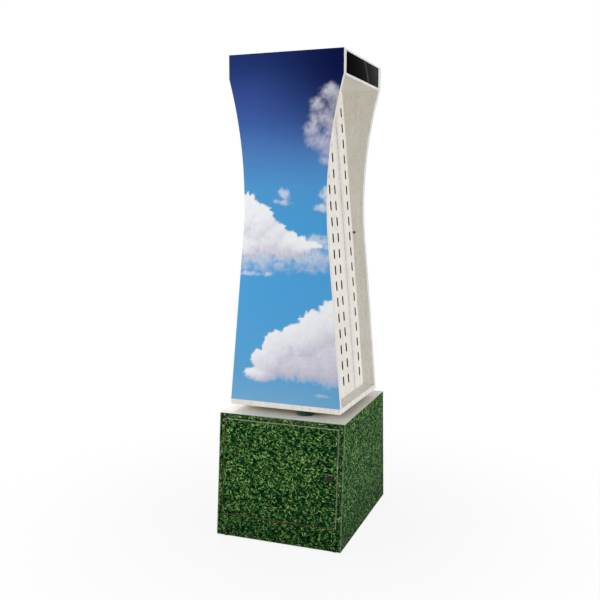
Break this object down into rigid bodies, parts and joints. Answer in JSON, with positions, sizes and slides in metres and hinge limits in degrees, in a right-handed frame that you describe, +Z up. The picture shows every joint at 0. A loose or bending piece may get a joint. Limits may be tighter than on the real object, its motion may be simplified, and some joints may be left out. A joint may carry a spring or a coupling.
{
  "type": "revolving display stand",
  "caption": "Floor stand for eyewear: a waisted printed tower with slotted sides turns on a battered cabinet with a lockable door.",
  "frame": {"origin": "on the floor, under the middle of the cabinet", "axes": "+Z up, the cabinet's door looks along -Y, +X to the right of someone facing the door"},
  "size_m": [0.494, 0.632, 1.8],
  "materials": {
    "white_lacquer": "satin white lacquer on board",
    "raw_board": "bare fibreboard",
    "grass_print": "printed film, satin",
    "sky_print": "printed film, gloss",
    "black_gloss": "polished",
    "zinc_steel": "zinc plated",
    "lock_steel": "dark bronze plated",
    "black_rubber": "matt",
    "green_felt": "felt",
    "nylon": "moulded",
    "beech": "sanded",
    "brown_cap": "moulded"
  },
  "bodies": {
    "base": {"base_bottom_board": "raw_board", "base_left_side": "raw_board", "base_right_side": "raw_board", "base_back_panel": "raw_board", "base_bottom_rail": "raw_board", "base_top_board": "white_lacquer", "grass_film_left": "grass_print", "grass_film_right": "grass_print", "grass_film_back": "grass_print", "grass_film_front": "grass_print", "feet": "black_rubber", "foot_screws": "zinc_steel", "door_pivot_pins": "zinc_steel", "door_pivot_washer": "nylon", "lock_strike": "beech", "turntable_lower_plate": "zinc_steel", "lower_plate_screws": "zinc_steel", "bearing_balls": "zinc_steel", "ball_cage": "nylon", "pivot_bolt": "zinc_steel", "pivot_bolt_washer": "zinc_steel", "pivot_bolt_nut": "zinc_steel", "glide_pads": "green_felt"},
    "door": {"door_panel": "white_lacquer", "grass_film_door": "grass_print", "door_pivot_bushes": "nylon", "lock_housing": "lock_steel", "lock_nut": "zinc_steel"},
    "lock": {"lock_plug": "lock_steel", "lock_cam": "zinc_steel", "lock_cam_screw": "zinc_steel"},
    "tower": {"turntable_upper_plate": "zinc_steel", "upper_plate_screws": "zinc_steel", "turntable_spacer": "beech", "tower_floor_board": "white_lacquer", "front_panel": "white_lacquer", "back_panel": "white_lacquer", "sky_film_front": "sky_print", "sky_film_back": "sky_print", "left_slotted_board": "white_lacquer", "right_slotted_board": "white_lacquer", "panel_screw_caps": "brown_cap", "head_floor_board": "white_lacquer", "head_top_board": "white_lacquer", "head_battens": "white_lacquer", "left_head_plate": "black_gloss", "right_head_plate": "black_gloss"}
  },
  "joints": [
    {"name": "tower_turn", "type": "hinge", "parent": "base", "child": "tower", "pos_m": [0, 0, 0.4975], "axis": [0, 0, 1], "continuous": true},
    {"name": "door_hinge", "type": "hinge", "parent": "base", "child": "door", "pos_m": [-0.2106, -0.2853, 0.27275], "axis": [0, -0.0814, -0.9967], "range_deg": [0, 110]},
    {"name": "lock_turn", "type": "hinge", "parent": "door", "child": "lock", "pos_m": [0.1956, -0.29447, 0.2735], "axis": [0, -0.9967, 0.0814], "range_deg": [0, 90]}
  ]
}
